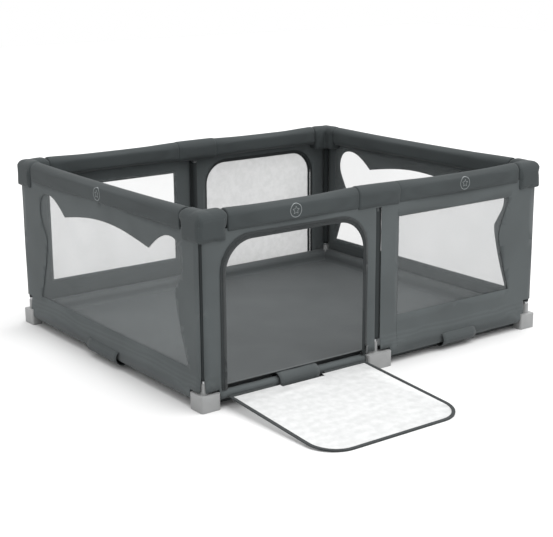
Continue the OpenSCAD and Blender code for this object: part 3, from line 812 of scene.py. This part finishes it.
class PLAYPEN_OT_hems(Step, bpy.types.Operator):
    """Sewn sleeves at the foot of the walls, drawn round the bottom rails"""
    bl_idname = "playpen.hems"
    bl_label = "Hems"

    def build(self):
        s = sizes()
        bm = bmesh.new()
        for axis, sign, start, end in hem_runs():
            centre = sign * (HEM_Y if axis == 0 else HEM_X)
            section = circle_of(centre, HEM_Z, HEM_R - 0.8 * MM, 28)
            run_along(bm, axis, start, end, max(8, round((end - start) / (0.7 * s.cell))), section)
        for v in bm.verts:
            v.co.z += 1.3 * MM * noise.noise(v.co / (60 * MM))
            out = v.co.x if abs(v.co.x) > HEM_X - 2 * HEM_R else v.co.y
            sway = 1.0 * MM * noise.noise(v.co / (45 * MM) + Vector((5, 1, 2)))
            on_end = abs(v.co.x) > HEM_X - 2 * HEM_R and abs(v.co.y) < POST_Y - 3 * HEM_R
            v.co[0 if on_end else 1] += math.copysign(sway, out) - math.copysign(0.8 * MM, out)
        faced_out(bm)
        thickened(bm, s.cloth)
        made = piece("wall_hems", bm, "wall")


class PLAYPEN_OT_windows(Step, bpy.types.Operator):
    """Knitted mesh sewn behind the window openings"""
    bl_idname = "playpen.windows"
    bl_label = "Window Mesh"

    def build(self):
        s = sizes()
        for number, (side, (axis, sign)) in enumerate(SIDES.items()):
            at = sign * ((WALL_X, WALL_Y)[axis] - 1.6 * MM)
            bm = filled(side + "_window_mesh", axis, at, s.cell)
            rippled(bm, axis, s.ripple, RIPPLE_SPAN, 3.1 * number)
            area = area_of(bm)
            made = piece(side + "_window_net", bm, "net", nodes=(side + "_window_mesh",),
                         fix_normals=False)


def notch_of_net():
    """Half width and top of the notch that the door mesh leaves for the band."""
    bm = node_mesh("back_door_mesh")
    foot = low("back_door_mesh", 2)
    near = [v.co for v in bm.verts if abs(v.co.x - DOOR_X) < 130 * MM and v.co.z < foot + 60 * MM]
    half = max(abs(co.x - DOOR_X) for co in near)
    top = max(co.z for co in near)
    bm.free()
    return half, top


def lower_notch(bm):
    """Draws the mesh in to the band by the width that its binding would take."""
    half, top = notch_of_net()
    foot = low("back_door_mesh", 2)
    w = sizes().binding_w
    over_band = HEM_Z + math.sqrt(BAND_R ** 2 - (FOLD_Y - HEM_Y) ** 2) + 2.5 * MM
    for v in bm.verts:
        if v.is_boundary and abs(v.co.x - DOOR_X) < half + MM and v.co.z < top + MM:
            v.co.x = DOOR_X + (v.co.x - DOOR_X) * (half - w) / half
            v.co.z = foot + (v.co.z - foot) * (over_band - foot) / (top - foot)


def to_side(bm, side):
    """Leaves a back door panel upright; lays the front one out over the ground."""
    if side == "front":
        half_turn(bm)
        reach = high("back_door_mesh", 2) + 12 * MM - FOLD_Z
        lean = math.radians(90) + math.asin((FOLD_Z - 2.7 * MM) / reach)
        bmesh.ops.rotate(bm, verts=bm.verts, cent=joint_place("front_door_fold"),
                         matrix=Matrix.Rotation(lean, 3, "X"))


class PLAYPEN_OT_doors(Step, bpy.types.Operator):
    """The two mesh door panels with their bound edges, folding at the hem"""
    bl_idname = "playpen.doors"
    bl_label = "Door Panels"

    def build(self):
        s = sizes()
        for side in ("front", "back"):
            body = side + "_door"
            net = filled("back_door_mesh", 1, FOLD_Y, 1.3 * s.cell)
            lower_notch(net)
            rippled(net, 1, s.ripple, 260 * MM, 0.7)
            area = area_of(net)
            to_side(net, side)
            made = piece(side + "_door_net", net, "door_net", body, (side + "_door_mesh",),
                         fix_normals=False)
            rim = filled("back_door_binding", 1, FOLD_Y, 0.8 * s.cell)
            half, top = notch_of_net()
            spare = [f for f in rim.faces if abs(f.calc_center_median().x - DOOR_X) < half
                     and f.calc_center_median().z < top]
            bmesh.ops.delete(rim, geom=spare, context="FACES")
            bmesh.ops.translate(rim, verts=rim.verts, vec=(0, -s.binding_t / 2, 0))
            thickened(rim, -s.binding_t)
            to_side(rim, side)
            edge = piece(side + "_door_edge", rim, "tape", body, (side + "_door_binding",))
            modifier(edge, "BEVEL", width=1.6 * MM, segments=3, limit_method="ANGLE",
                     angle_limit=SHARP)
            lo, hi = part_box("back_door_binding")
            half, r = (hi[0] - lo[0]) / 2 - 3 * MM, s.door_r - 8 * MM
            sewn = bmesh.new()
            path = arch_path(half, lo[2] + 4 * MM, hi[2] - 9 * MM, r, 6 * MM)
            for face in (-1, 1):
                line = [Vector((DOOR_X + x * (1 - 6 * MM / half), FOLD_Y, z)) for x, z, _ in path]
                stitch_row(sewn, line, Vector((0, face, 0)), s.binding_t / 2)
            to_side(sewn, side)
            piece(side + "_door_stitches", sewn, "thread", body)


class PLAYPEN_OT_zips(Step, bpy.types.Operator):
    """Zip tapes round the doorways with their rows of teeth"""
    bl_idname = "playpen.zips"
    bl_label = "Zips"

    def build(self):
        s = sizes()
        lo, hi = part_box("zip_tapes")
        depth = (WALL_Y + 3 * MM + hi[1]) / 2
        both = bmesh.new()
        teeth = bmesh.new()
        for side in ("back", "front"):
            tape = filled("zip_tapes", 1, depth, s.cell)
            r, straight, spring = s.door_r, DOOR_HALF - s.door_r, hi[2] - s.tape_w - s.door_r
            for v in tape.verts:
                dx, dz = abs(v.co.x - DOOR_X), v.co.z - spring
                if dx > straight and dz > 0:
                    lapped = math.hypot(dx - straight, dz) < r + MM
                else:
                    lapped = dx < DOOR_HALF + MM and dz < r + MM
                if lapped:
                    v.co.x = DOOR_X + (v.co.x - DOOR_X) * (DOOR_HALF - s.tape_lap) / DOOR_HALF
                    v.co.z -= s.tape_lap * (v.co.z - lo[2]) / (hi[2] - s.tape_w - lo[2])
            thickened(tape, 1.6 * MM)
            if side == "front":
                half_turn(tape)
            merged(both, tape)
            made = bmesh.new()
            half = hi[0] - DOOR_X - s.tape_w + 2 * MM
            path = arch_path(half, lo[2] + 2 * MM, hi[2] - s.tape_w + 2 * MM, s.door_r, s.tooth)
            tooth = Matrix.Diagonal((2.6 * MM, 2.2 * MM, 3.6 * MM, 1))
            for x, z, angle in path:
                place = Matrix.Translation((DOOR_X + x, depth + 0.4 * MM, z))
                turn = Matrix.Rotation(-angle, 4, "Y")
                bmesh.ops.create_cube(made, size=1.0, matrix=place @ turn @ tooth)
            if side == "front":
                half_turn(made)
            merged(teeth, made)
        piece("zip_tape_fabric", both, "tape", nodes=("zip_tapes",))
        piece("zip_teeth", teeth, "tooth")
        for side in ("front", "back"):
            for part in ("_zip_slider", "_zip_pull"):
                finish(frame["nodes"][side + part], "nickel")


class PLAYPEN_OT_bands(Step, bpy.types.Operator):
    """Wide fabric bands round the bottom rails, open at both ends, each with a near-black inner tube as
    painted shade in its hollow
    """
    bl_idname = "playpen.bands"
    bl_label = "Support Bands"

    def build(self):
        outside, inside = bmesh.new(), bmesh.new()
        source = node_mesh("support_bands")
        loose = set(source.verts)
        while loose:
            island, grow = set(), [loose.pop()]
            while grow:
                v = grow.pop()
                island.add(v)
                for e in v.link_edges:
                    o = e.other_vert(v)
                    if o in loose:
                        loose.discard(o)
                        grow.append(o)
            span = [(min(v.co[i] for v in island), max(v.co[i] for v in island)) for i in (0, 1)]
            axis = 0 if abs(sum(span[1]) / 2) > POST_Y - HEM_R else 1
            centre = sum(span[1 - axis]) / 2
            start, end = span[axis]
            # The inner tube is drawn near-black as painted shade inside the hollow band
            for bm, inset, trim in ((outside, 1.2 * MM, 0.5 * MM), (inside, 4 * MM, 2 * MM)):
                section = circle_of(centre, HEM_Z, BAND_R - inset, 36)
                run_along(bm, axis, start + trim, end - trim, 10, section)
        source.free()
        for bm, deep in ((outside, 1.3 * MM), (inside, 0.5 * MM)):
            for v in bm.verts:
                v.co.z += deep * noise.noise(v.co / (50 * MM) + Vector((9, 4, 1)))
            faced_out(bm)
            thickened(bm, 1.2 * MM)
        made = piece("support_band_fabric", outside, "band", nodes=("support_bands",))
        lining = piece("support_band_lining", inside, "lining")


class PLAYPEN_OT_sleeves(Step, bpy.types.Operator):
    """Sleeves drawn over the six posts, near-black as painted shade of the groove between the wall panels
    """
    bl_idname = "playpen.sleeves"
    bl_label = "Post Sleeves"

    def build(self):
        lo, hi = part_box("post_sleeves")
        radius = hi[0] - POST_X - 0.9 * MM
        bm = bmesh.new()
        steps = 36
        for x, y in POSTS:
            ring = bmesh.ops.create_circle(
                bm, segments=24, radius=radius, matrix=Matrix.Translation((x, y, lo[2]))
            )["verts"]
            drawn_out(bm, ring, (0, 0, (hi[2] - lo[2]) / steps), steps)
        for v in bm.verts:
            x, y = min(POSTS, key=lambda p: (v.co.x - p[0]) ** 2 + (v.co.y - p[1]) ** 2)
            away = Vector((v.co.x - x, v.co.y - y, 0))
            # A middle sleeve widens outwards to fill the gap in the wall, with a tongue at its top; its
            # near-black cloth is painted shade of that gap
            if abs(x) < POST_X / 2 and away.y * y > 0 and abs(away.y) > 0.6 * radius:
                if v.co.z > hi[2] - MM:
                    v.co.z += 22 * MM
                if abs(away.x) > MM:
                    away.x = math.copysign(20 * MM * (abs(away.x) / radius) ** 0.25, away.x)
            grow = 1 + 0.03 * noise.noise(Vector((v.co.x * 30, v.co.y * 30, v.co.z * 45)))
            v.co.x, v.co.y = x + away.x * grow, y + away.y * grow
        faced_out(bm)
        thickened(bm, 1.2 * MM)
        # Near-black sleeves: painted shade of the groove between the wall panels at each post
        made = piece("post_sleeve_painted_shade", bm, "sleeve", nodes=("post_sleeves",))


class PLAYPEN_OT_floor(Step, bpy.types.Operator):
    """Padded floor mat, and the floor cloth laid over it"""
    bl_idname = "playpen.floor"
    bl_label = "Floor Mat"

    def build(self):
        lo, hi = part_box("floor_mat")
        bm = bmesh.new()
        size = (hi[0] - lo[0], hi[1] - lo[1], hi[2] - lo[2] - 3 * MM)
        block(bm, size, (0, 0, (hi[2] - 3 * MM + lo[2]) / 2))
        rounded(bm, bm.edges[:], 9 * MM, 4)
        for axis, count in ((0, 30), (1, 25)):
            for i in range(1, count):
                cut(bm, axis, lo[axis] + (hi[axis] - lo[axis]) * i / count)
        mat = piece("floor_mat_cover", bm, "floor", nodes=("floor_mat",))
        # Over the rails the cloth lies on the support bands, and is sewn to the foot of the walls
        half_x, half_y = WALL_X - 3.4 * MM, WALL_Y - 3.4 * MM
        over = BAND_R + 2 * MM
        sheet = bmesh.new()
        bmesh.ops.create_grid(sheet, x_segments=60, y_segments=50, size=1.0)
        bmesh.ops.scale(sheet, verts=sheet.verts, vec=(half_x, half_y, 1))
        for axis, rail in ((0, HEM_X), (1, HEM_Y)):
            for back in (0, 8, 15, 20, 25, 28, 30, 32, 36, 41, 48):
                for sign in (-1, 1):
                    cut(sheet, axis, sign * (rail - back * MM))
        bite = 17 * MM
        for x, y in POSTS:
            reach = 3 * bite if x * y < 0 and abs(x) > POST_X / 2 else bite
            for side in (-reach, reach):
                cut(sheet, 0, x + side)
                cut(sheet, 1, y + side)
            at = [(f, f.calc_center_median()) for f in sheet.faces]
            holes = [f for f, c in at if abs(c.x - x) < reach and abs(c.y - y) < reach]
            bmesh.ops.delete(sheet, geom=holes, context="FACES")
        for v in sheet.verts:
            inside = min(HEM_X - abs(v.co.x), HEM_Y - abs(v.co.y))
            rest = hi[2] + 0.6 * MM + 1.2 * MM * (0.5 + noise.noise(v.co / 0.16))
            if inside < over:
                v.co.z = HEM_Z + math.sqrt(over * over - max(inside, 0) ** 2)
            else:
                t = min(1.0, (inside - over) / (14 * MM))
                v.co.z = HEM_Z + (rest - HEM_Z) * t * (2 - t)
        thickened(sheet, -0.8 * MM)
        cloth = piece("floor_cloth", sheet, "floor")


class PLAYPEN_OT_feet(Step, bpy.types.Operator):
    """Moulded corner and middle feet with softened edges"""
    bl_idname = "playpen.feet"
    bl_label = "Feet"

    def build(self):
        for node in sorted(frame["nodes"]):
            if not node.endswith("_foot"):
                continue
            bm = node_mesh(node)
            bmesh.ops.dissolve_limit(bm, angle_limit=math.radians(1), verts=bm.verts[:],
                                     edges=bm.edges[:])
            made = piece(node + "_moulding", bm, "foot", nodes=(node,),
                         fix_normals=False)
            modifier(made, "BEVEL", width=sizes().foot_edge, segments=3, limit_method="ANGLE",
                     angle_limit=SHARP, harden_normals=True)


class PLAYPEN_OT_frame_finish(Step, bpy.types.Operator):
    """Steel tubes and moulded connectors in their real finishes"""
    bl_idname = "playpen.frame_finish"
    bl_label = "Tubes and Connectors"

    def build(self):
        for node, obj in frame["nodes"].items():
            if node.endswith(("_post", "_rail")):
                finish(obj, "steel")
            elif node.endswith("connectors"):
                finish(obj, "core")


class PLAYPEN_OT_marks(Step, bpy.types.Operator):
    """Plain printed rings with a star on the rail covers"""
    bl_idname = "playpen.marks"
    bl_label = "Printed Marks"

    def build(self):
        s = sizes()
        bm = bmesh.new()
        height = PAD_LOW + 45 * MM
        for pad, axis, along in MARKS:
            drawn = bmesh.new()
            for segments, radius, inner in ((48, s.mark_r, 0.93), (10, 0.62 * s.mark_r, 0.82)):
                ring = bmesh.ops.create_circle(drawn, segments=segments, radius=radius)["verts"]
                if segments == 10:
                    for v in ring[1::2]:
                        v.co *= 0.5
                points, _ = extruded(drawn, edges_at(ring))
                bmesh.ops.scale(drawn, verts=points, vec=(inner, inner, 1))
            turn = Matrix.Rotation(math.radians(90), 4, "X")
            if axis == 0:
                turn = Matrix.Rotation(math.radians(-90), 4, "Z") @ turn
            place = Vector((along, 0, height)) if axis == 1 else Vector((0, along, height))
            bmesh.ops.transform(drawn, verts=drawn.verts, matrix=Matrix.Translation(place) @ turn)
            shell = evaluated(bpy.data.objects[pad + "_cover"])
            for v in drawn.verts:
                start = v.co.copy()
                start[axis] = -1.2
                found, spot, _, _ = shell.ray_cast(start, unit(axis))
                if not found:
                    raise RuntimeError("No rail cover under the mark on " + pad)
                v.co = spot - unit(axis) * 0.35 * MM
            for f in drawn.faces:
                f.normal_update()
                if f.normal[axis] > 0:
                    f.normal_flip()
            merged(bm, drawn)
        piece("printed_marks", bm, "ink", fix_normals=False)


class PLAYPEN_OT_stage(Step, bpy.types.Operator):
    """Pale floor, even white light, one very wide overhead light and the camera"""
    bl_idname = "playpen.stage"
    bl_label = "Stage"

    def build(self):
        stage = bpy.context.scene.playpen_stage
        bm = bmesh.new()
        bmesh.ops.create_grid(bm, x_segments=1, y_segments=1, size=stage.floor_half)
        bmesh.ops.translate(bm, verts=bm.verts, vec=(0, 0, -0.2 * MM))
        mesh = bpy.data.meshes.new("floor")
        bm.to_mesh(mesh)
        bm.free()
        mesh.materials.append(
            new_material("Matt white paper", Base_Color=PAPER, Roughness=0.9, Specular_IOR_Level=0.1)[0]
        )
        add_object("floor", mesh)
        world = bpy.data.worlds.new("Studio")
        bpy.context.scene.world = world
        world.use_nodes = True
        sky = world.node_tree.nodes["Background"].inputs
        sky["Color"].default_value = (1, 1, 1, 1)
        sky["Strength"].default_value = stage.sky
        lamp = put(bpy.data.lights.new("Softbox", "SUN"), angle=LAMP_SPREAD, energy=stage.key)
        holder = add_object("Softbox", lamp)
        holder.location = LAMP_AT
        holder.rotation_euler = (-Vector(LAMP_AT)).to_track_quat("-Z", "Y").to_euler()
        camera = put(bpy.data.cameras.new("Camera"), lens=stage.lens, sensor_width=36, clip_end=60)
        turn = (Matrix.Rotation(-CAMERA_YAW, 4, "Z") @ Matrix.Rotation(math.pi / 2 - CAMERA_PITCH, 4, "X")
                @ Matrix.Rotation(CAMERA_ROLL, 4, "Z"))
        eye = add_object("Camera", camera)
        eye.matrix_world = Matrix.Translation(CAMERA_AT) @ turn
        bpy.context.scene.camera = eye
        bpy.context.scene.view_settings.view_transform = "Standard"


STEPS = (
    PLAYPEN_OT_stage, PLAYPEN_OT_rail_pads, PLAYPEN_OT_mid_covers, PLAYPEN_OT_corner_caps,
    PLAYPEN_OT_filling, PLAYPEN_OT_cover_seams, PLAYPEN_OT_walls, PLAYPEN_OT_wall_seams, PLAYPEN_OT_hems,
    PLAYPEN_OT_windows, PLAYPEN_OT_doors, PLAYPEN_OT_zips, PLAYPEN_OT_bands, PLAYPEN_OT_sleeves,
    PLAYPEN_OT_floor, PLAYPEN_OT_feet, PLAYPEN_OT_frame_finish, PLAYPEN_OT_marks,
)


class PLAYPEN_PT_sidebar(bpy.types.Panel):
    """Every step of the playpen, in the order it is made"""
    bl_idname = "PLAYPEN_PT_sidebar"
    bl_label = "Playpen"
    bl_space_type = "VIEW_3D"
    bl_region_type = "UI"
    bl_category = "Playpen"

    def draw(self, context):
        for step in STEPS:
            self.layout.operator(step.bl_idname)
        for name in ("playpen_sizes", "playpen_colours", "playpen_stage"):
            group = getattr(context.scene, name)
            for prop in group.__annotations__:
                self.layout.prop(group, prop)


GROUPS = {
    "playpen_sizes": PlaypenSizes, "playpen_colours": PlaypenColours, "playpen_stage": PlaypenStage,
}


def register():
    for made in (*GROUPS.values(), *STEPS, PLAYPEN_PT_sidebar):
        bpy.utils.register_class(made)
    for name, group in GROUPS.items():
        setattr(bpy.types.Scene, name, bpy.props.PointerProperty(type=group))


def unregister():
    for name in GROUPS:
        delattr(bpy.types.Scene, name)
    for made in reversed((*GROUPS.values(), *STEPS, PLAYPEN_PT_sidebar)):
        bpy.utils.unregister_class(made)


def main():
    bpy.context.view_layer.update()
    register()
    make_materials()
    for step in STEPS:
        group, name = step.bl_idname.split(".")
        getattr(getattr(bpy.ops, group), name)()


if __name__ == "__main__":
    main()
